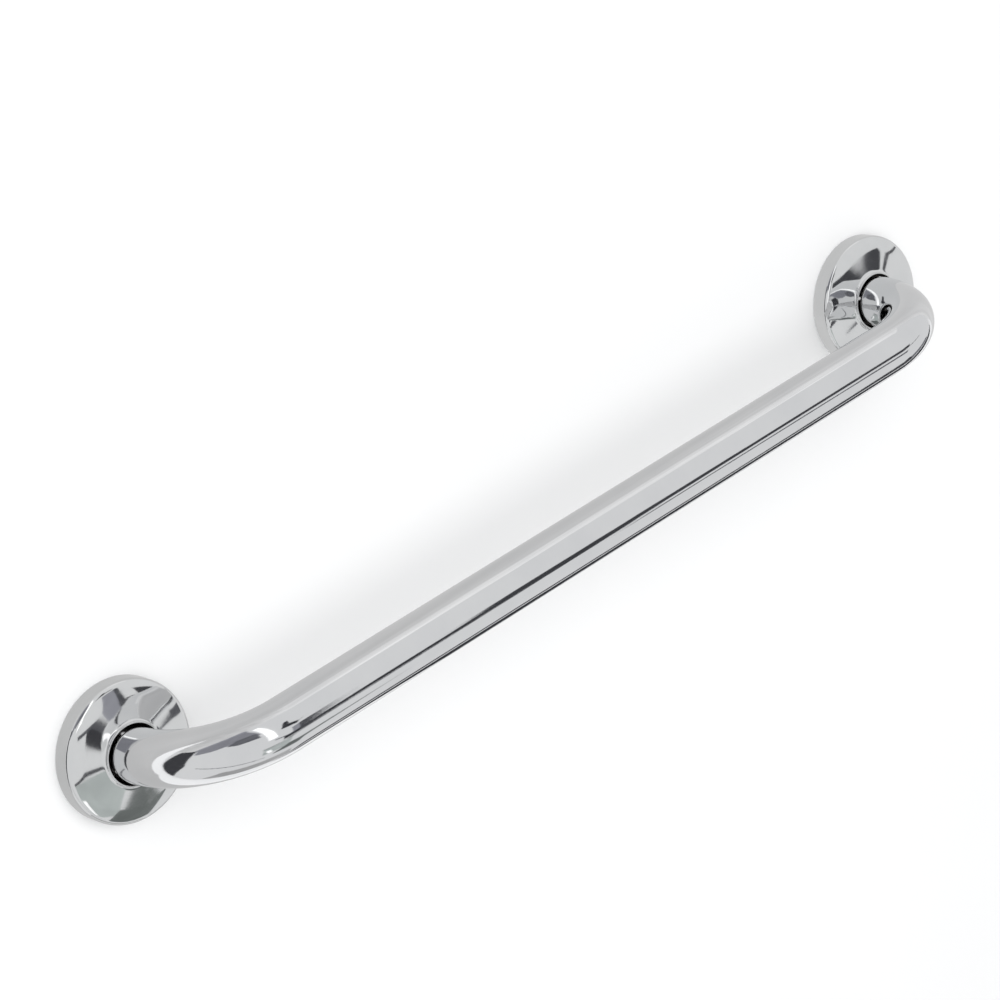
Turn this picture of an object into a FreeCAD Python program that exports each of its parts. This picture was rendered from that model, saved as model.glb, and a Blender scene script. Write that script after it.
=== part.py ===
import FreeCAD, Part
import math
import os

import Sketcher

# Straight grab rail: one bent steel tube on two round mounting plates, each under a sliding cover.
# Frame: the mounting surface is z = 0 and +Z points away from it, +X runs along the rail,
# and the origin is midway between the two legs. Sizes are millimetres and degrees.

SIZES = (
    ("tube_diameter", 32.0, "outside diameter of the tube"),
    ("tube_wall", 1.5, "wall thickness of the tube"),
    ("leg_spacing", 609.6, "from leg axis to leg axis, 24 in"),
    ("bar_height", 77.5, "from the mounting surface to the bar's centreline"),
    ("bend_radius", 60.0, "centreline radius of both bends"),
    ("plate_thickness", 4.0, "mounting plate"),
    ("plate_edge", 0.5, "chamfer round the plate's outer edge"),
    ("screw_circle", 60.0, "diameter of the circle that the screw holes lie on"),
    ("screw_hole", 6.5, "clearance hole for a 6 mm screw"),
    ("screw_head", 12.0, "mouth of the countersink"),
    ("screw_count", 3, "screw holes in each plate"),
    ("weld_leg", 3.5, "leg length of the fillet weld"),
    ("weld_hollow", 4.5, "radius of the weld's hollow face"),
    ("cover_diameter", 82.6, "outside diameter of the cover's rim"),
    ("cover_sheet", 0.8, "sheet thickness of the cover"),
    ("cover_fit", 0.05, "radial clearance between the cover's rim and the plate"),
    ("rim_straight", 8.6, "straight part of the rim, up to its rounded shoulder"),
    ("shoulder_radius", 3.4, "outer radius of the shoulder above the rim"),
    ("dome_radius", 57.4, "outer radius of the crown between the shoulder and the cone"),
    ("cone_slope", 8.0, "slope of the cone from the crown up to the neck"),
    ("hole_diameter", 35.2, "inside diameter of the neck that the leg passes through"),
    ("neck_radius", 1.6, "outer radius of the hollow between the cone and the neck"),
    ("neck_centre", 16.6, "height of the centre of that radius"),
    ("neck_top", 16.9, "height of the neck's end"),
)


def make_sizes(doc):
    """A spreadsheet with one driving dimension in each row: its meaning, its value and its alias."""
    sheet = doc.addObject("Spreadsheet::Sheet", "sizes")
    for row, (alias, value, meaning) in enumerate(SIZES, start=1):
        sheet.set("A%d" % row, meaning)
        sheet.set("B%d" % row, str(value))
        sheet.setAlias("B%d" % row, alias)
    doc.recompute()
    return sheet


def make_body(doc, label):
    body = doc.addObject("PartDesign::Body", label)
    body.Label = label
    return body


def origin_feature(body, role):
    """The body's own origin plane or axis with this role."""
    return next(item for item in body.Origin.OriginFeatures if item.Role == role)


def make_sketch(body, name, plane):
    sketch = body.newObject("Sketcher::SketchObject", name)
    sketch.AttachmentSupport = [(origin_feature(body, plane), "")]
    sketch.MapMode = "FlatFace"
    return sketch


def rule(sketch, name, expression, *where):
    """Add a named dimension to the sketch and bind it to the spreadsheet."""
    index = sketch.addConstraint(Sketcher.Constraint(*where))
    sketch.renameConstraint(index, name)
    sketch.setExpression("Constraints." + name, expression)


def tie(sketch, *where):
    sketch.addConstraint(Sketcher.Constraint(*where))


def flat(x, y):
    """A point of a sketch."""
    return FreeCAD.Vector(x, y, 0)


def arc(centre, radius, start, end):
    """An arc of a sketch, anticlockwise from the start angle to the end angle, in degrees."""
    circle = Part.Circle(centre, FreeCAD.Vector(0, 0, 1), radius)
    return Part.ArcOfCircle(circle, math.radians(start), math.radians(end))


def stand_on_leg(body, side):
    """Put the body at its own leg; the right-hand one is turned half round to mirror the left."""
    if side > 0:
        body.Placement.Rotation = FreeCAD.Rotation(FreeCAD.Vector(0, 0, 1), 180)
    body.setExpression(".Placement.Base.x", "%d * sizes.leg_spacing / 2" % side)


def ring_sketch(body, name, outer, inner, centre_x=None):
    """Two concentric circles in the body's XY plane, on the origin or at a distance along X."""
    sketch = make_sketch(body, name, "XY_Plane")
    start = flat(-1 if centre_x else 0, 0)
    for radius in (2, 1):
        sketch.addGeometry(Part.Circle(start, FreeCAD.Vector(0, 0, 1), radius), False)
    if centre_x:
        tie(sketch, "PointOnObject", 0, 3, -1)
        rule(sketch, "centre_x", centre_x, "DistanceX", 0, 3, -1, 1, 1)
    else:
        tie(sketch, "Coincident", 0, 3, -1, 1)
    tie(sketch, "Coincident", 1, 3, 0, 3)
    rule(sketch, "outer", outer, "Radius", 0, 2)
    rule(sketch, "inner", inner, "Radius", 1, 1)
    return sketch


def make_grip_tube(doc, sheet):
    """The tube's ring, swept up the left leg, along the bar and down the right leg."""
    body = make_body(doc, "grip_tube")
    ring = ring_sketch(
        body,
        "tube_section",
        "sizes.tube_diameter / 2",
        "sizes.tube_diameter / 2 - sizes.tube_wall",
        "sizes.leg_spacing / 2",
    )
    half, top, bend = sheet.leg_spacing / 2, sheet.bar_height, sheet.bend_radius
    path = make_sketch(body, "tube_path", "XZ_Plane")
    path.addGeometry(Part.LineSegment(flat(-half, 0), flat(-half, top - bend)), False)
    path.addGeometry(arc(flat(-half + bend, top - bend), bend, 90, 180), False)
    path.addGeometry(Part.LineSegment(flat(-half + bend, top), flat(half - bend, top)), False)
    path.addGeometry(arc(flat(half - bend, top - bend), bend, 0, 90), False)
    path.addGeometry(Part.LineSegment(flat(half, top - bend), flat(half, 0)), False)
    tie(path, "Tangent", 0, 2, 1, 2)
    tie(path, "Tangent", 1, 1, 2, 1)
    tie(path, "Tangent", 2, 2, 3, 2)
    tie(path, "Tangent", 3, 1, 4, 1)
    tie(path, "Vertical", 0)
    tie(path, "Horizontal", 2)
    tie(path, "Vertical", 4)
    tie(path, "Equal", 1, 3)
    tie(path, "PointOnObject", 0, 1, -1)
    tie(path, "Symmetric", 0, 1, 4, 2, -2)
    rule(path, "leg_spacing", "sizes.leg_spacing", "DistanceX", 0, 1, 4, 2, 2 * half)
    rule(path, "bar_height", "sizes.bar_height", "DistanceY", -1, 1, 2, 1, top)
    rule(path, "bend_radius", "sizes.bend_radius", "Radius", 1, bend)
    pipe = body.newObject("PartDesign::AdditivePipe", "bent_tube")
    pipe.Profile = ring
    pipe.Spine = (path, ["Edge%d" % edge for edge in range(1, 6)])
    return body


def make_mounting_plate(doc, sheet, name, side):
    """A round plate with the tube welded into its middle and countersunk screw holes round it."""
    body = make_body(doc, name)
    disc = ring_sketch(
        body,
        "disc",
        "sizes.cover_diameter / 2 - sizes.cover_sheet - sizes.cover_fit",
        "sizes.tube_diameter / 2",
    )
    pad = body.newObject("PartDesign::Pad", "plate")
    pad.Profile = disc
    pad.setExpression("Length", "sizes.plate_thickness")
    doc.recompute()
    top_edges = [
        (edge.Length, "Edge%d" % index)
        for index, edge in enumerate(pad.Shape.Edges, start=1)
        if edge.BoundBox.ZMin > pad.Length.Value / 2
    ]
    outer_edge = max(top_edges)[1]
    chamfer = body.newObject("PartDesign::Chamfer", "outer_edge")
    chamfer.Base = (pad, [outer_edge])
    chamfer.setExpression("Size", "sizes.plate_edge")
    doc.recompute()
    spot = make_sketch(body, "screw_centre", "XY_Plane")
    spot.setExpression(".AttachmentOffset.Base.z", "sizes.plate_thickness")
    from_axis, hole_radius = sheet.screw_circle / 2, sheet.screw_hole / 2
    spot.addGeometry(Part.Circle(flat(0, from_axis), FreeCAD.Vector(0, 0, 1), hole_radius), False)
    tie(spot, "PointOnObject", 0, 3, -2)
    rule(spot, "from_axis", "sizes.screw_circle / 2", "DistanceY", -1, 1, 0, 3, from_axis)
    rule(spot, "hole_radius", "sizes.screw_hole / 2", "Radius", 0, hole_radius)
    doc.recompute()
    solid_before = body.Shape.Volume
    hole = body.newObject("PartDesign::Hole", "screw_hole")
    hole.Profile = spot
    doc.recompute()
    hole.DepthType = "ThroughAll"
    hole.HoleCutType = "Countersink"
    hole.HoleCutCountersinkAngle = 90
    hole.setExpression("Diameter", "sizes.screw_hole")
    hole.setExpression("HoleCutDiameter", "sizes.screw_head")
    doc.recompute()
    pattern = body.newObject("PartDesign::PolarPattern", "screw_holes")
    pattern.Originals = [hole]
    pattern.Axis = (origin_feature(body, "Z_Axis"), [""])
    pattern.Angle = 360
    pattern.setExpression("Occurrences", "sizes.screw_count")
    body.Tip = pattern
    doc.recompute()
    if not body.Shape.Volume < solid_before:
        raise RuntimeError("the screw holes cut nothing from " + name)
    stand_on_leg(body, side)
    return body


def make_weld_bead(doc, sheet, name, side):
    """The fillet weld round the leg: a corner with a hollow face, turned about the leg's axis."""
    body = make_body(doc, name)
    corner = make_sketch(body, "fillet", "XZ_Plane")
    inner, low = sheet.tube_diameter / 2, sheet.plate_thickness
    leg, hollow = sheet.weld_leg, sheet.weld_hollow
    chord = math.hypot(leg, leg)
    back = math.sqrt(hollow**2 - chord**2 / 4)
    middle = flat(inner + leg / 2 + back / math.sqrt(2), low + leg / 2 + back / math.sqrt(2))
    spread = math.degrees(math.asin(chord / 2 / hollow))
    corner.addGeometry(Part.LineSegment(flat(inner, low + leg), flat(inner, low)), False)
    corner.addGeometry(Part.LineSegment(flat(inner, low), flat(inner + leg, low)), False)
    corner.addGeometry(arc(middle, hollow, 225 - spread, 225 + spread), False)
    tie(corner, "Vertical", 0)
    tie(corner, "Horizontal", 1)
    tie(corner, "Coincident", 0, 2, 1, 1)
    tie(corner, "Coincident", 2, 1, 0, 1)
    tie(corner, "Coincident", 2, 2, 1, 2)
    tie(corner, "Equal", 0, 1)
    rule(corner, "leg_radius", "sizes.tube_diameter / 2", "DistanceX", -1, 1, 0, 2, inner)
    rule(corner, "plate_top", "sizes.plate_thickness", "DistanceY", -1, 1, 0, 2, low)
    rule(corner, "weld_leg", "sizes.weld_leg", "DistanceX", 1, 1, 1, 2, leg)
    rule(corner, "weld_hollow", "sizes.weld_hollow", "Radius", 2, hollow)
    turned = body.newObject("PartDesign::Revolution", "weld")
    turned.Profile = corner
    turned.ReferenceAxis = (corner, ["V_Axis"])
    turned.Angle = 360
    stand_on_leg(body, side)
    return body


def sheet_outline(sketch, sheet):
    """The cover's cut sheet: rim, shoulder, crown, cone and turned-up neck, outside and inside.

    The outside runs up the rim, round the shoulder, over the crown, up the cone, round the hollow
    and up the neck. The inside is the same line at one sheet thickness, so the arcs share centres.
    The cone's line is tangent to the hollow. The crown is tangent to it and to the shoulder: with a
    slope of s where it meets the shoulder, cos(s - cone_slope) is the ratio of the crown's distance
    from the shoulder's centre, measured square to the cone, to that distance measured straight.
    """
    rim, hole = sheet.cover_diameter / 2, sheet.hole_diameter / 2
    shoulder_centre = flat(rim - sheet.shoulder_radius, sheet.rim_straight)
    neck_centre = flat(hole + sheet.cover_sheet + sheet.neck_radius, sheet.neck_centre)
    cone = math.radians(sheet.cone_slope)
    square = flat(math.sin(cone), math.cos(cone))
    cone_line = square.dot(neck_centre) - sheet.neck_radius
    reach = sheet.dome_radius - sheet.shoulder_radius
    turn = math.acos((square.dot(shoulder_centre) - cone_line + sheet.dome_radius) / reach)
    steep = flat(math.sin(cone + turn), math.cos(cone + turn))
    dome_centre = shoulder_centre - steep * reach
    steep_angle = 90 - math.degrees(cone + turn)
    cone_angle = 90 - sheet.cone_slope
    top = sheet.neck_top
    for inset in (0.0, sheet.cover_sheet):
        shoulder = sheet.shoulder_radius - inset
        dome = sheet.dome_radius - inset
        hollow = sheet.neck_radius + inset
        neck_wall = neck_centre.x - hollow
        rim_wall = rim - inset
        sketch.addGeometry(Part.LineSegment(flat(rim_wall, 0), flat(rim_wall, sheet.rim_straight)), False)
        sketch.addGeometry(arc(shoulder_centre, shoulder, 0, steep_angle), False)
        sketch.addGeometry(arc(dome_centre, dome, steep_angle, cone_angle), False)
        cone_start, cone_end = dome_centre + square * dome, neck_centre - square * hollow
        sketch.addGeometry(Part.LineSegment(cone_start, cone_end), False)
        sketch.addGeometry(arc(neck_centre, hollow, 180, 180 + cone_angle), False)
        sketch.addGeometry(Part.LineSegment(flat(neck_wall, neck_centre.y), flat(neck_wall, top)), False)
    sketch.addGeometry(Part.LineSegment(flat(hole, top), flat(hole + sheet.cover_sheet, top)), False)
    sketch.addGeometry(Part.LineSegment(flat(rim - sheet.cover_sheet, 0), flat(rim, 0)), False)


def tie_sheet_outline(sketch, sheet):
    """Tangent joints along both sides, shared centres, and the sizes that drive them."""
    outside, inside, neck_end, foot = 0, 6, 12, 13
    for first in (outside, inside):
        tie(sketch, "Vertical", first)
        for step in range(3):
            tie(sketch, "Tangent", first + step, 2, first + step + 1, 1)
        tie(sketch, "Tangent", first + 3, 2, first + 4, 2)
        tie(sketch, "Tangent", first + 4, 1, first + 5, 1)
        tie(sketch, "Vertical", first + 5)
    for bend in (1, 2, 4):
        tie(sketch, "Coincident", outside + bend, 3, inside + bend, 3)
    tie(sketch, "Coincident", neck_end, 1, inside + 5, 2)
    tie(sketch, "Coincident", neck_end, 2, outside + 5, 2)
    tie(sketch, "Horizontal", neck_end)
    tie(sketch, "Coincident", foot, 1, inside, 1)
    tie(sketch, "Coincident", foot, 2, outside, 1)
    tie(sketch, "Horizontal", foot)
    tie(sketch, "PointOnObject", outside, 1, -1)
    rim, hole = sheet.cover_diameter / 2, sheet.hole_diameter / 2
    direction = math.pi - math.radians(sheet.cone_slope)
    rule(sketch, "rim", "sizes.cover_diameter / 2", "DistanceX", -1, 1, 0, 1, rim)
    rule(sketch, "rim_straight", "sizes.rim_straight", "DistanceY", 0, 1, 0, 2, sheet.rim_straight)
    rule(sketch, "shoulder_radius", "sizes.shoulder_radius", "Radius", 1, sheet.shoulder_radius)
    rule(sketch, "dome_radius", "sizes.dome_radius", "Radius", 2, sheet.dome_radius)
    rule(sketch, "cone_direction", "(180 - sizes.cone_slope) * 1 deg", "Angle", 3, direction)
    rule(sketch, "neck_radius", "sizes.neck_radius", "Radius", 4, sheet.neck_radius)
    rule(sketch, "hole", "sizes.hole_diameter / 2", "DistanceX", -1, 1, neck_end, 1, hole)
    rule(sketch, "neck_centre", "sizes.neck_centre", "DistanceY", -1, 1, 4, 3, sheet.neck_centre)
    rule(sketch, "neck_top", "sizes.neck_top", "DistanceY", -1, 1, 5, 2, sheet.neck_top)
    rule(sketch, "rim_sheet", "sizes.cover_sheet", "DistanceX", foot, 1, foot, 2, sheet.cover_sheet)
    rule(sketch, "neck_sheet", "sizes.cover_sheet", "DistanceX", neck_end, 1, neck_end, 2, sheet.cover_sheet)


def make_cover(doc, sheet, name, side):
    """The cover: one pressed sheet, turned about the leg's axis."""
    body = make_body(doc, name)
    outline = make_sketch(body, "sheet_outline", "XZ_Plane")
    sheet_outline(outline, sheet)
    tie_sheet_outline(outline, sheet)
    turned = body.newObject("PartDesign::Revolution", "pressed_sheet")
    turned.Profile = outline
    turned.ReferenceAxis = (outline, ["V_Axis"])
    turned.Angle = 360
    stand_on_leg(body, side)
    return body


def check(doc, bodies):
    """Stop if any object failed, or a sub-part isn't one valid solid."""
    for item in doc.Objects:
        if "Invalid" in item.State or "Error" in item.State:
            raise RuntimeError("%s failed: %s" % (item.Label, item.State))
    for body in bodies:
        shape = body.Shape
        if shape.isNull() or not shape.isValid() or len(shape.Solids) != 1:
            raise RuntimeError(body.Label + " isn't one valid solid")
        box = shape.optimalBoundingBox(False, False)
        corners = (box.XMin, box.YMin, box.ZMin, box.XMax, box.YMax, box.ZMax)
        print(body.Label, "volume %.0f" % shape.Volume, "box", ["%.2f" % value for value in corners])


def main():
    doc = FreeCAD.newDocument("grab_rail")
    sheet = make_sizes(doc)
    bodies = [make_grip_tube(doc, sheet)]
    for prefix, side in (("left", -1), ("right", 1)):
        bodies.append(make_mounting_plate(doc, sheet, prefix + "_mounting_plate", side))
        bodies.append(make_weld_bead(doc, sheet, prefix + "_weld_bead", side))
        bodies.append(make_cover(doc, sheet, prefix + "_cover", side))
    doc.recompute()
    check(doc, bodies)
    os.makedirs("parts", exist_ok=True)
    for body in bodies:
        body.Shape.exportStep("parts/%s.step" % body.Label)


main()
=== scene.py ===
import math

import bpy
import numpy as np
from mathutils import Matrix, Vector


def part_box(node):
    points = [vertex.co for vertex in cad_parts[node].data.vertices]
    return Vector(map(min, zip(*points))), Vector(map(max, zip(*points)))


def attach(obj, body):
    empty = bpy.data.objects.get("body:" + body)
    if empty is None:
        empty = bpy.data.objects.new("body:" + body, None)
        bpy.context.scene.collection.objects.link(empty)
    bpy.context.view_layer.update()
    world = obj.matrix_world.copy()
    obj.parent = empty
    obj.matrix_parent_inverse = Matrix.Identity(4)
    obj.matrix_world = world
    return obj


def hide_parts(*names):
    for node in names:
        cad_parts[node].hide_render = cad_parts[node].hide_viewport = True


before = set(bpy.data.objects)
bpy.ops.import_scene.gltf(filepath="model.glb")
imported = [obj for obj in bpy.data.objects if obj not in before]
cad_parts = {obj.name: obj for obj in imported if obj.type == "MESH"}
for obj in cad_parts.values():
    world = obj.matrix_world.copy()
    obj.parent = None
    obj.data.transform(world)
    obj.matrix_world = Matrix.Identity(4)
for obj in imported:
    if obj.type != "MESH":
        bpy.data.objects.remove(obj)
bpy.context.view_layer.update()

# Metres. The mounting surface is z = 0, the rail runs along X, and the bar stands off towards +Z.
MM = 0.001
BEND_RADIUS = 60.0 * MM
TUBE_WALL = 1.5 * MM
TUBE_EDGE = 0.3 * MM
SHEET = 0.8 * MM
RIM_STRAIGHT = 8.6 * MM
SHOULDER_RADIUS = 3.4 * MM
DOME_RADIUS = 57.4 * MM
CONE_SLOPE = 8.0
HOLE_RADIUS = 17.6 * MM
NECK_RADIUS = 1.6 * MM
NECK_CENTRE = 16.6 * MM
NECK_TOP = 16.9 * MM
CUT_EDGE = 0.12 * MM
PLATE_THICKNESS = 4.0 * MM
WELD_LEG = 3.5 * MM
WELD_HOLLOW = 4.5 * MM
WELD_RIPPLE = 0.16 * MM
WELD_RIPPLES = 56

TUBE_RADIUS = 16.0 * MM
BAR_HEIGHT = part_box("grip_tube")[1].z - TUBE_RADIUS
LEG_LENGTH = BAR_HEIGHT - BEND_RADIUS
cover_low, cover_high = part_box("right_cover")
COVER_RADIUS = (cover_high.x - cover_low.x) / 2
HALF_SPACING = cover_high.x - COVER_RADIUS


# ---------------------------------------------------------------- surfaces


def closed_grid(name, points, uv, inside):
    """A closed skin from a grid of points that joins up with itself both ways.

    Row i, column j goes to the quad (i, j), (i+1, j), (i+1, j+1), (i, j+1), with both indices
    taken round again at the end. inside says for each row whether its quads are the inner wall,
    which takes the piece's second material.
    """
    rows, columns = points.shape[:2]
    i, j = np.meshgrid(np.arange(rows), np.arange(columns), indexing="ij")
    down, along = (i + 1) % rows, (j + 1) % columns
    quads = np.stack([i * columns + j, down * columns + j, down * columns + along, i * columns + along], -1)
    mesh = bpy.data.meshes.new(name)
    mesh.from_pydata(points.reshape(-1, 3).tolist(), [], quads.reshape(-1, 4).tolist())
    corners_u = np.stack([uv[0][i], uv[0][i + 1], uv[0][i + 1], uv[0][i]], -1)
    corners_v = np.stack([uv[1][j], uv[1][j], uv[1][j + 1], uv[1][j + 1]], -1)
    layer = mesh.uv_layers.new(name="along_surface")
    layer.data.foreach_set("uv", np.stack([corners_u, corners_v], -1).ravel().astype(np.float32))
    mesh.polygons.foreach_set("use_smooth", np.ones(rows * columns, bool))
    mesh.polygons.foreach_set("material_index", np.repeat(inside.astype(np.int32), columns))
    mesh.update()
    mesh.validate()
    piece = bpy.data.objects.new(name, mesh)
    bpy.context.scene.collection.objects.link(piece)
    return piece


def rail_path(distance):
    """Point and outward direction of the tube's centreline at each distance along it.

    Up the left leg, a quarter circle, along the bar, a quarter circle and down the right leg.
    The turn angle grows from 0 on the left leg to a half turn on the right leg.
    """
    quarter = BEND_RADIUS * math.pi / 2
    bar = 2 * (HALF_SPACING - BEND_RADIUS)
    left = np.clip(distance - LEG_LENGTH, 0, quarter) / BEND_RADIUS
    right = np.clip(distance - LEG_LENGTH - quarter - bar, 0, quarter) / BEND_RADIUS
    turn = left + right
    rise = np.clip(distance, 0, LEG_LENGTH)
    run = np.clip(distance - LEG_LENGTH - quarter, 0, bar)
    fall = np.clip(distance - LEG_LENGTH - 2 * quarter - bar, 0, LEG_LENGTH)
    x = -HALF_SPACING + BEND_RADIUS * (1 - np.cos(left)) + run + BEND_RADIUS * np.sin(right)
    z = rise + BEND_RADIUS * np.sin(left) - BEND_RADIUS * (1 - np.cos(right)) - fall
    zero = np.zeros_like(distance)
    centre = np.stack([x, zero, z], -1)
    outward = np.stack([-np.cos(turn), zero, np.sin(turn)], -1)
    return centre, outward


def tube_stations():
    """Distances along the path: close together in the bends, further apart on the straights."""
    quarter = BEND_RADIUS * math.pi / 2
    bar = 2 * (HALF_SPACING - BEND_RADIUS)
    parts = [
        np.linspace(0, LEG_LENGTH, 9),
        LEG_LENGTH + np.linspace(0, quarter, 61),
        LEG_LENGTH + quarter + np.linspace(0, bar, 61),
        LEG_LENGTH + quarter + bar + np.linspace(0, quarter, 61),
        LEG_LENGTH + 2 * quarter + bar + np.linspace(0, LEG_LENGTH, 9),
    ]
    return np.unique(np.round(np.concatenate(parts), 9))


def make_tube(name, around=120):
    """The bent tube: a circle carried along rail_path.

    Point(s, a) = centre(s) + radius * (cos a * outward(s) + sin a * Y). The radius is the outer
    one on the way out and the inner one on the way back, with a broken edge at both cut ends.
    """
    stations = tube_stations()
    length = stations[-1]
    inner = TUBE_RADIUS - TUBE_WALL
    turn = np.linspace(0, math.pi / 2, 4)
    edge_s = TUBE_EDGE * (1 - np.cos(turn))
    edge_r = TUBE_EDGE * (1 - np.sin(turn))
    main = stations[(stations > 2 * TUBE_EDGE) & (stations < length - 2 * TUBE_EDGE)]
    s_loop = np.concatenate([edge_s, main, length - edge_s[::-1], length - edge_s, main[::-1], edge_s[::-1]])
    r_out = TUBE_RADIUS - edge_r
    r_in = inner + edge_r
    full = np.full(len(main), 1.0)
    r_loop = np.concatenate([r_out, full * TUBE_RADIUS, r_out[::-1], r_in, full * inner, r_in[::-1]])
    half = len(s_loop) // 2
    inside = np.arange(len(s_loop)) >= half - 1
    angle = np.linspace(0, 2 * math.pi, around, endpoint=False)
    centre, outward = rail_path(s_loop)
    side = np.array([0.0, 1.0, 0.0])
    ring = np.cos(angle)[None, :, None] * outward[:, None] + np.sin(angle)[None, :, None] * side
    points = centre[:, None] + r_loop[:, None, None] * ring
    along = np.append(s_loop, s_loop[0])
    girth = np.linspace(0, 2 * math.pi * TUBE_RADIUS, around + 1)
    return closed_grid(name, points, (along, girth), inside)


def arc_points(centre, radius, start, end, count):
    """Points of an arc from the start angle to the end angle, in degrees."""
    turn = np.radians(np.linspace(start, end, count))
    return np.stack([centre[0] + radius * np.cos(turn), centre[1] + radius * np.sin(turn)], -1)


def cover_side(inset):
    """One side of the cover's sheet as points (radius, height), from the rim's foot to the neck's end.

    A straight rim, a shoulder arc, a long crown arc, a straight cone, a hollow arc and a short
    neck. The crown is tangent to the cone's line and to the shoulder: with a slope of s where it
    meets the shoulder, cos(s - CONE_SLOPE) is the ratio of the crown's distance from the
    shoulder's centre, measured square to the cone, to that distance measured straight.
    """
    shoulder = np.array([COVER_RADIUS - SHOULDER_RADIUS, RIM_STRAIGHT])
    neck = np.array([HOLE_RADIUS + SHEET + NECK_RADIUS, NECK_CENTRE])
    cone = math.radians(CONE_SLOPE)
    square = np.array([math.sin(cone), math.cos(cone)])
    reach = DOME_RADIUS - SHOULDER_RADIUS
    turn = math.acos((square @ (shoulder - neck) + NECK_RADIUS + DOME_RADIUS) / reach)
    dome = shoulder - reach * np.array([math.sin(cone + turn), math.cos(cone + turn)])
    steep_angle = 90 - math.degrees(cone + turn)
    cone_angle = 90 - CONE_SLOPE
    rim = np.stack([np.full(7, COVER_RADIUS - inset), np.linspace(CUT_EDGE, RIM_STRAIGHT, 7)], -1)[:-1]
    rounded = arc_points(shoulder, SHOULDER_RADIUS - inset, 0, steep_angle, 17)
    crown = arc_points(dome, DOME_RADIUS - inset, steep_angle, cone_angle, 12)[1:]
    hollow = arc_points(neck, NECK_RADIUS + inset, 180 + cone_angle, 180, 14)
    share = np.linspace(0, 1, 14)[1:-1, None]
    straight = crown[-1] * (1 - share) + hollow[0] * share
    end = np.array([[hollow[-1][0], NECK_TOP - CUT_EDGE]])
    return np.concatenate([rim, rounded, crown, straight, hollow, end])


def make_cover(name, leg_x, around=192):
    """The pressed cover: its cut sheet turned about the leg's axis.

    Point(k, a) = leg + radius(k) * (cos a * X + sin a * Y) + height(k) * Z.
    """
    outer = cover_side(0.0)
    inner = cover_side(SHEET)[::-1]
    shift = CUT_EDGE * 0.6
    neck_end = np.array([[outer[-1][0] - shift, NECK_TOP], [inner[0][0] + shift, NECK_TOP]])
    foot = np.array([[inner[-1][0] + shift, 0.0], [outer[0][0] - shift, 0.0]])
    loop = np.concatenate([outer, neck_end, inner, foot])
    inside = np.zeros(len(loop), bool)
    inside[len(outer) + 1 : -1] = True
    angle = np.linspace(0, 2 * math.pi, around, endpoint=False)
    ring = np.stack([np.cos(angle), np.sin(angle), np.zeros(around)], -1)
    points = loop[:, 0][:, None, None] * ring
    points[..., 0] += leg_x
    points[..., 2] += loop[:, 1][:, None]
    steps = np.hypot(*np.diff(np.append(loop, loop[:1], 0), axis=0).T)
    along = np.concatenate([[0], np.cumsum(steps)])
    girth = np.linspace(0, 2 * math.pi, around + 1)
    return closed_grid(name, points[:, ::-1], (along, girth), inside)


def make_weld(name, leg_x, around=300):
    """The fillet weld round the leg's foot, with the overlapping ripples the torch leaves.

    Point(k, a) = leg + radius * (cos a * X + sin a * Y) + height * Z on the bead's hollow face; the
    face is lifted by RIPPLE * |sin(half phase)|, where the phase is ripples * a and lags towards
    both toes of the bead, and fades out at the toes.
    """
    low = PLATE_THICKNESS
    half_chord = WELD_LEG / math.sqrt(2)
    depth = math.sqrt(WELD_HOLLOW**2 - half_chord**2) / math.sqrt(2)
    middle = np.array([TUBE_RADIUS, low]) + WELD_LEG / 2 + depth
    spread = math.degrees(math.asin(half_chord / WELD_HOLLOW))
    face = arc_points(middle, WELD_HOLLOW, 225 - spread, 225 + spread, 15)
    toes = np.array([[TUBE_RADIUS, low + WELD_LEG], [TUBE_RADIUS + WELD_LEG, low]])
    face[0], face[-1] = toes
    share = np.linspace(0, 1, 8)[1:, None]
    corner = np.array([TUBE_RADIUS, low])
    bottom = toes[1] * (1 - share) + corner * share
    side = corner * (1 - share) + toes[0] * share
    back = np.concatenate([bottom, side])[:-1]
    loop = np.concatenate([face, back])
    across = np.concatenate([np.linspace(-1, 1, 15), np.ones(len(back))])
    angle = np.linspace(0, 2 * math.pi, around, endpoint=False)
    phase = WELD_RIPPLES / 2 * angle[None, :] + 1.3 * across[:, None] ** 2
    lift = WELD_RIPPLE * np.abs(np.sin(phase)) * (1 - across[:, None] ** 2)
    radius = loop[:, :1] + lift / math.sqrt(2)
    height = loop[:, 1:] + lift / math.sqrt(2)
    points = np.stack([leg_x + radius * np.cos(angle), radius * np.sin(angle), height + 0 * angle], -1)
    along = np.concatenate([across, [2.0]])
    girth = np.linspace(0, 2 * math.pi, around + 1)
    return closed_grid(name, points, (along, girth), np.zeros(len(loop), bool))


# ---------------------------------------------------------------- materials


def new_material(name):
    """A new material: its node tree and its shader."""
    material = bpy.data.materials.new(name)
    material.use_nodes = True
    return material, material.node_tree, material.node_tree.nodes["Principled BSDF"]


def put(tree, kind, inputs=(), **settings):
    """Add a node, set its options, and plug in or set each (input name, value or socket) pair."""
    node = tree.nodes.new(kind)
    for key, value in settings.items():
        setattr(node, key, value)
    for key, value in inputs:
        if isinstance(value, bpy.types.NodeSocket):
            tree.links.new(value, node.inputs[key])
        else:
            node.inputs[key].default_value = value
    return node


def noise(tree, vector, scale, detail=3.0, roughness=0.5):
    inputs = [("Vector", vector), ("Scale", scale), ("Detail", detail), ("Roughness", roughness)]
    return put(tree, "ShaderNodeTexNoise", inputs).outputs["Fac"]


def spread_to(tree, value, low, high, start=0.3, end=0.7):
    """Map a noise value to the range from low to high."""
    inputs = [("Value", value), ("From Min", start), ("From Max", end), ("To Min", low), ("To Max", high)]
    return put(tree, "ShaderNodeMapRange", inputs).outputs["Result"]


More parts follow.
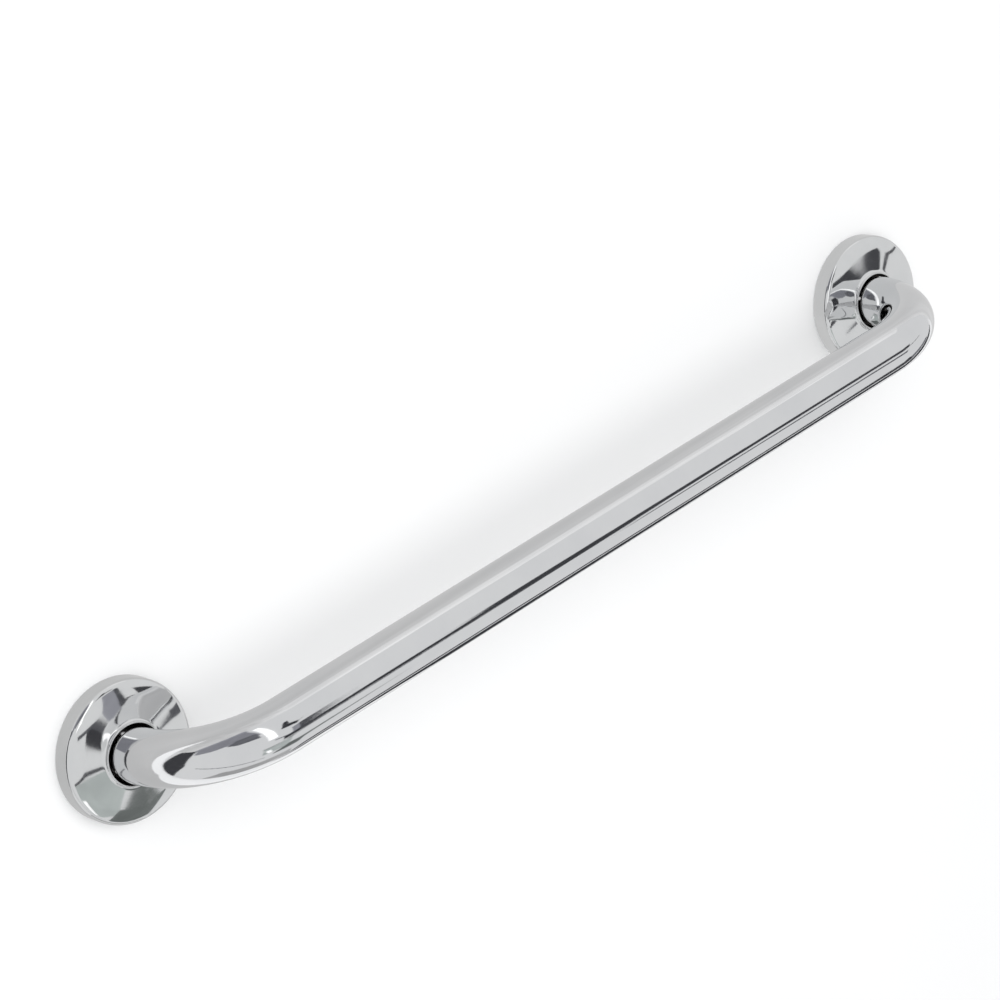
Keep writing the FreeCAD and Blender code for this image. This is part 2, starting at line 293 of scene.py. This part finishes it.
def blend(tree, share, first, second):
    """Mix two colours."""
    node = put(tree, "ShaderNodeMix", data_type="RGBA")
    for index, value in ((0, share), (6, first), (7, second)):
        if isinstance(value, bpy.types.NodeSocket):
            tree.links.new(value, node.inputs[index])
        else:
            node.inputs[index].default_value = value
    return node.outputs[2]


def calc(tree, operation, *values):
    node = put(tree, "ShaderNodeMath", operation=operation)
    for index, value in enumerate(values):
        if isinstance(value, bpy.types.NodeSocket):
            tree.links.new(value, node.inputs[index])
        else:
            node.inputs[index].default_value = value
    return node.outputs[0]


def object_coordinates(tree):
    return put(tree, "ShaderNodeTexCoord").outputs["Object"]


def surface_coordinates(tree):
    """The two numbers laid along the surface: distance along the section or the tube, and girth."""
    layer = put(tree, "ShaderNodeUVMap", uv_map="along_surface").outputs["UV"]
    split = put(tree, "ShaderNodeSeparateXYZ", [("Vector", layer)])
    return split.outputs["X"], split.outputs["Y"]


def finish_steel(tree, shader, colour, roughness, bumps):
    """Plug in a metal's colour and roughness, and a chain of (height, strength, distance) bumps."""
    shader.inputs["Metallic"].default_value = 1
    tree.links.new(colour, shader.inputs["Base Color"])
    tree.links.new(roughness, shader.inputs["Roughness"])
    normal = None
    for height, strength, distance in bumps:
        inputs = [("Strength", strength), ("Distance", distance), ("Height", height)]
        if normal:
            inputs.append(("Normal", normal))
        normal = put(tree, "ShaderNodeBump", inputs).outputs["Normal"]
    tree.links.new(normal, shader.inputs["Normal"])


def polished_tube_steel():
    """Mirror-polished tube: streaks of the buffing wheel run along it, with a faint uneven haze."""
    material, tree, shader = new_material("mirror_buffed_tube")
    along, girth = surface_coordinates(tree)
    turn = calc(tree, "DIVIDE", girth, TUBE_RADIUS)
    streak_x = calc(tree, "MULTIPLY", calc(tree, "COSINE", turn), 14.0)
    streak_y = calc(tree, "MULTIPLY", calc(tree, "SINE", turn), 14.0)
    streak_z = calc(tree, "MULTIPLY", along, 5.0)
    direction = put(tree, "ShaderNodeCombineXYZ", [("X", streak_x), ("Y", streak_y), ("Z", streak_z)])
    streaks = noise(tree, direction.outputs["Vector"], 4.0, 5.0, 0.7)
    place = object_coordinates(tree)
    haze = noise(tree, place, 22.0, 4.0, 0.6)
    wave = noise(tree, place, 38.0, 1.0, 0.4)
    prints = noise(tree, place, 75.0, 6.0, 0.7)
    colour = blend(tree, spread_to(tree, haze, 0, 1), (0.815, 0.818, 0.825, 1), (0.765, 0.77, 0.782, 1))
    base = spread_to(tree, streaks, 0.035, 0.075)
    smudge = spread_to(tree, prints, 0.0, 0.05, 0.55, 0.75)
    bumps = [(streaks, 0.012, 0.0005), (wave, 0.03, 0.001)]
    finish_steel(tree, shader, colour, calc(tree, "ADD", base, smudge), bumps)
    return material


def polished_cover_steel():
    """Mirror-polished pressing: fine rings from buffing it as it spun, with a faint haze."""
    material, tree, shader = new_material("mirror_buffed_cover")
    along, girth = surface_coordinates(tree)
    ring_at = put(tree, "ShaderNodeCombineXYZ", [("X", calc(tree, "MULTIPLY", along, 1400.0))])
    rings = noise(tree, ring_at.outputs["Vector"], 1.0, 4.0, 0.7)
    place = object_coordinates(tree)
    haze = noise(tree, place, 40.0, 4.0, 0.6)
    wave = noise(tree, place, 60.0, 1.0, 0.4)
    prints = noise(tree, place, 120.0, 6.0, 0.7)
    colour = blend(tree, spread_to(tree, haze, 0, 1), (0.815, 0.82, 0.822, 1), (0.765, 0.772, 0.776, 1))
    base = spread_to(tree, rings, 0.035, 0.07)
    smudge = spread_to(tree, prints, 0.0, 0.05, 0.55, 0.75)
    bumps = [(rings, 0.015, 0.0002), (wave, 0.02, 0.0008)]
    finish_steel(tree, shader, colour, calc(tree, "ADD", base, smudge), bumps)
    return material


def mill_steel():
    """The unpolished inside of the tube and the covers, as it left the mill and the press."""
    material, tree, shader = new_material("mill_finish_inside")
    place = object_coordinates(tree)
    cloud = noise(tree, place, 60.0, 5.0, 0.6)
    grain = noise(tree, place, 900.0, 3.0, 0.6)
    colour = blend(tree, spread_to(tree, cloud, 0, 1), (0.64, 0.63, 0.62, 1), (0.5, 0.495, 0.48, 1))
    finish_steel(tree, shader, colour, spread_to(tree, cloud, 0.66, 0.86), [(grain, 0.12, 0.0003)])
    return material


def plate_steel():
    """Rolled plate: a straight grain along X, a dull uneven sheen and a few darker stains."""
    material, tree, shader = new_material("rolled_plate")
    place = object_coordinates(tree)
    stretched = put(tree, "ShaderNodeMapping", [("Vector", place), ("Scale", (30.0, 1500.0, 400.0))])
    grain = noise(tree, stretched.outputs["Vector"], 1.0, 4.0, 0.65)
    cloud = noise(tree, place, 55.0, 5.0, 0.6)
    stain = noise(tree, place, 130.0, 4.0, 0.6)
    clean = blend(tree, spread_to(tree, cloud, 0, 1), (0.6, 0.6, 0.61, 1), (0.48, 0.48, 0.49, 1))
    colour = blend(tree, spread_to(tree, stain, 0, 0.5, 0.58, 0.7), clean, (0.3, 0.27, 0.23, 1))
    finish_steel(tree, shader, colour, spread_to(tree, grain, 0.24, 0.42), [(grain, 0.15, 0.0002)])
    return material


def weld_steel():
    """Brushed-off weld metal: straw and blue heat tint that changes round the leg, rough ripples."""
    material, tree, shader = new_material("tinted_weld")
    place = object_coordinates(tree)
    cloud = noise(tree, place, 140.0, 4.0, 0.6)
    grain = noise(tree, place, 1500.0, 3.0, 0.6)
    straw = blend(tree, spread_to(tree, cloud, 0, 1), (0.55, 0.53, 0.5, 1), (0.5, 0.4, 0.26, 1))
    colour = blend(tree, spread_to(tree, cloud, 0, 0.7, 0.55, 0.7), straw, (0.28, 0.3, 0.42, 1))
    finish_steel(tree, shader, colour, spread_to(tree, cloud, 0.26, 0.45), [(grain, 0.2, 0.0002)])
    return material


# ---------------------------------------------------------------- the pieces

tube_finish, cover_finish, inside_finish = polished_tube_steel(), polished_cover_steel(), mill_steel()
plate_finish, weld_finish = plate_steel(), weld_steel()


def fit_piece(piece, finishes, body, node):
    for finish in finishes:
        piece.data.materials.append(finish)
    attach(piece, body)
    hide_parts(node)


fit_piece(make_tube("buffed_tube"), (tube_finish, inside_finish), "rail", "grip_tube")
for side, sign in (("left", -1), ("right", 1)):
    leg_x = sign * HALF_SPACING
    cover = make_cover(side + "_buffed_cover", leg_x)
    fit_piece(cover, (cover_finish, inside_finish), side + "_cover", side + "_cover")
    weld = make_weld(side + "_rippled_weld", leg_x)
    fit_piece(weld, (weld_finish,), "rail", side + "_weld_bead")
    plate = bpy.data.objects[side + "_mounting_plate"]
    plate.data.materials.clear()
    plate.data.materials.append(plate_finish)


# ---------------------------------------------------------------- stage

# The studio: a pale room 7 m wide under a ceiling of diffusers. Its cards are seen only in mirror
# reflections: neither the camera nor the soft light on the floor meets them.
CEILING, NORTH, SOUTH, WEST, EAST, TABLE = range(6)
CEILING_HEIGHT, TABLE_HEIGHT = 1.5, 0.0002
NORTH_AT, SOUTH_AT, WEST_AT, EAST_AT = 3.2, -3.2, -3.4, 3.6
CARD_STEP = 0.004


def card_point(face, across, up, order):
    """A corner of a card on one face of the room; later cards hang a step nearer to the rail."""
    step = order * CARD_STEP
    if face == CEILING:
        return across, up, CEILING_HEIGHT - step
    if face == NORTH:
        return across, NORTH_AT - step, up
    if face == SOUTH:
        return across, SOUTH_AT + step, up
    if face == WEST:
        return WEST_AT + step, across, up
    if face == EAST:
        return EAST_AT - step, across, up
    return across, up, TABLE_HEIGHT + step / 200


def hang_card(name, order, face, corners, brightness, tint):
    """A flat glowing card cut to the given corners: faintly cloudy, and brighter towards +X."""
    mesh = bpy.data.meshes.new(name)
    points = [card_point(face, across, up, order) for across, up in corners]
    mesh.from_pydata(points, [], [tuple(range(len(points)))])
    card = bpy.data.objects.new(name, mesh)
    bpy.context.scene.collection.objects.link(card)
    material, tree, _ = new_material(name)
    place = object_coordinates(tree)
    cloud = spread_to(tree, noise(tree, place, 2.5), 0, 1)
    across = put(tree, "ShaderNodeSeparateXYZ", [("Vector", place)]).outputs["X"]
    strength = spread_to(tree, across, 0.96, 1.3, -0.4, 1.6)
    darker = tuple(0.9 * brightness * share for share in tint) + (1,)
    lighter = tuple(1.1 * brightness * share for share in tint) + (1,)
    colour = blend(tree, cloud, darker, lighter)
    glow = put(tree, "ShaderNodeEmission", [("Color", colour), ("Strength", strength)])
    tree.links.new(glow.outputs[0], tree.nodes["Material Output"].inputs["Surface"])
    mesh.materials.append(material)
    card.visible_camera = False
    card.visible_diffuse = False
    card.visible_shadow = False


def sheet(left, right, low, high):
    """The corners of a rectangular card."""
    return (left, low), (right, low), (right, high), (left, high)


def strip(*line, width):
    """The corners of a narrow card along a line of points: width is added to their second number."""
    return tuple(line) + tuple((across, up + width) for across, up in reversed(line))


NEUTRAL, COOL, GREENISH = (1, 1, 1), (0.95, 0.96, 1.06), (0.95, 1.02, 1.0)
DOORWAY = ((-2.2, 0.0), (0.6, 0.0), (3.2, 0.4), (3.2, 1.4), (2.0, 1.3), (-0.2, 1.0))
DARK_CORNER = ((0.7, 0.0), (3.6, 0.0), (3.6, 1.2), (3.0, 1.05), (2.5, 0.45), (1.3, 0.45))
DIFFUSER = ((-0.35, 1.0), (-0.7, 0.95), (-1.1, 1.3), (-2.0, 1.4), (-3.4, 2.0), (-3.4, 3.2), (-0.5, 3.2))
GREY_FLAG = ((-0.42, 0.62), (-0.42, 1.45), (-0.95, 1.62), (-1.3, 1.2), (-1.0, 0.85))
LARGE_FLAG = ((0.24, -1.24), (1.0, -1.55), (0.9, -2.3), (-0.1, -2.0), (-0.05, -1.68))
SMALL_FLAG = ((0.02, 0.44), (0.40, 0.26), (0.46, 0.42), (0.26, 0.62), (0.33, 0.98), (0.20, 0.96))
MAIN_BEAM = ((0.0, -0.5), (1.9, -0.5), (1.9, -0.24), (1.2, -0.24), (0.7, -0.08), (0.7, -0.26), (0.0, -0.26))
SLANTED_FLAG = ((1.95, -0.8), (1.85, -1.0), (1.05, -0.8), (1.05, -0.7))
GREY_TABLE = ((-0.55, -0.13), (3.6, -0.13), (3.6, 3.2), (-0.9, 3.2), (-0.55, 0.6))
TABLE_EDGE = ((-0.05, -0.13), (0.9, -0.26), (1.8, -0.36), (1.8, -0.9), (-0.05, -0.9))
CARDS = (
    ("back_wall_low", NORTH, sheet(-3.2, 3.4, 0.0, 0.5), 0.64, NEUTRAL),
    ("back_wall_middle", NORTH, sheet(-3.2, 3.4, 0.5, 0.8), 0.68, NEUTRAL),
    ("back_wall_high", NORTH, sheet(-3.2, 3.4, 0.8, 1.2), 0.72, NEUTRAL),
    ("grey_back_wall", NORTH, sheet(-3.4, -0.4, 1.2, 1.6), 0.36, COOL),
    ("front_wall", SOUTH, sheet(-1.7, 0.9, 0.0, 1.1), 0.42, NEUTRAL),
    ("dark_front_wall", SOUTH, DARK_CORNER, 0.05, COOL),
    ("dark_side_wall", EAST, ((-3.2, 0.0), (-1.6, 0.0), (-1.6, 0.3), (-3.2, 0.9)), 0.15, COOL),
    ("dark_doorway", WEST, DOORWAY, 0.06, COOL),
    ("thin_pole", CEILING, strip((-3.4, -1.2), (-1.8, -1.7), (-0.3, -2.3), width=0.14), 0.15, COOL),
    ("grey_diffuser", CEILING, DIFFUSER, 0.3, COOL),
    ("grey_flag", CEILING, GREY_FLAG, 0.17, COOL),
    ("strip_light", CEILING, sheet(-0.32, -0.12, -0.02, 2.6), 1.5, NEUTRAL),
    ("grey_table_light", CEILING, sheet(-0.45, 0.25, -1.45, -0.68), 0.5, GREENISH),
    ("bright_edge", CEILING, ((-0.40, -0.95), (-0.28, -0.95), (-0.18, -1.36), (-0.30, -1.40)), 1.25, NEUTRAL),
    ("large_dark_flag", CEILING, LARGE_FLAG, 0.15, GREENISH),
    ("narrow_beam", CEILING, ((-0.47, -0.68), (-0.47, -0.65), (1.0, -0.49), (1.0, -0.565)), 0.07, COOL),
    ("slanted_flag", CEILING, SLANTED_FLAG, 0.09, COOL),
    ("main_beam", CEILING, MAIN_BEAM, 0.05, COOL),
    ("thin_end_of_beam", CEILING, sheet(1.9, 3.5, -0.5, -0.44), 0.05, COOL),
    ("thin_arm", CEILING, strip((-0.2, -0.2), (0.3, -0.36), width=0.05), 0.1, COOL),
    ("cross_beam", CEILING, sheet(0.41, 0.49, -0.5, 0.16), 0.08, COOL),
    ("grey_gap", CEILING, sheet(0.22, 0.41, -0.27, 0.13), 0.32, COOL),
    ("small_dark_flag", CEILING, SMALL_FLAG, 0.05, COOL),
    ("grey_table", TABLE, GREY_TABLE, 0.62, NEUTRAL),
    ("dark_table_edge", TABLE, TABLE_EDGE, 0.05, COOL),
)
for order, (name, face, corners, brightness, tint) in enumerate(CARDS):
    hang_card(name, order, face, corners, brightness, tint)


def make_floor():
    """A wide pale floor with a faint mottle."""
    mesh = bpy.data.meshes.new("floor")
    reach = 30.0
    corners = [(-reach, -reach, 0), (reach, -reach, 0), (reach, reach, 0), (-reach, reach, 0)]
    mesh.from_pydata(corners, [], [(0, 1, 2, 3)])
    floor = bpy.data.objects.new("floor", mesh)
    bpy.context.scene.collection.objects.link(floor)
    material, tree, shader = new_material("pale_floor")
    cloud = noise(tree, object_coordinates(tree), 6.0, 3.0)
    colour = blend(tree, cloud, (0.93, 0.93, 0.93, 1), (0.95, 0.95, 0.95, 1))
    tree.links.new(colour, shader.inputs["Base Color"])
    shader.inputs["Roughness"].default_value = 0.9
    shader.inputs["Specular IOR Level"].default_value = 0.1
    mesh.materials.append(material)


def make_soft_light():
    """A large overhead softbox that lifts the floor; its own shape isn't mirrored in the steel."""
    data = bpy.data.lights.new("softbox", "AREA")
    data.shape = "SQUARE"
    data.size = 3.0
    data.energy = 42.0
    lamp = bpy.data.objects.new("softbox", data)
    lamp.location = (-0.6, 0.9, 2.6)
    lamp.rotation_euler = (-0.32, -0.22, 0)
    lamp.visible_glossy = False
    bpy.context.scene.collection.objects.link(lamp)


def make_camera():
    """The camera looks down on the left end of the rail, turned so that the bar climbs to the right."""
    data = bpy.data.cameras.new("camera")
    data.sensor_width = 36
    data.lens = 125.41
    camera = bpy.data.objects.new("camera", data)
    bpy.context.scene.collection.objects.link(camera)
    camera.location = (-1.1214, 0.8104, 1.5492)
    camera.rotation_euler = (-0.1929, -0.7021, -0.3314)
    bpy.context.scene.camera = camera


def make_world():
    world = bpy.data.worlds.new("studio")
    bpy.context.scene.world = world
    world.use_nodes = True
    world.node_tree.nodes["Background"].inputs["Color"].default_value = (0.76, 0.765, 0.77, 1)
    world.node_tree.nodes["Background"].inputs["Strength"].default_value = 1.0
    bpy.context.scene.view_settings.view_transform = "Standard"


make_floor()
make_soft_light()
make_camera()
make_world()
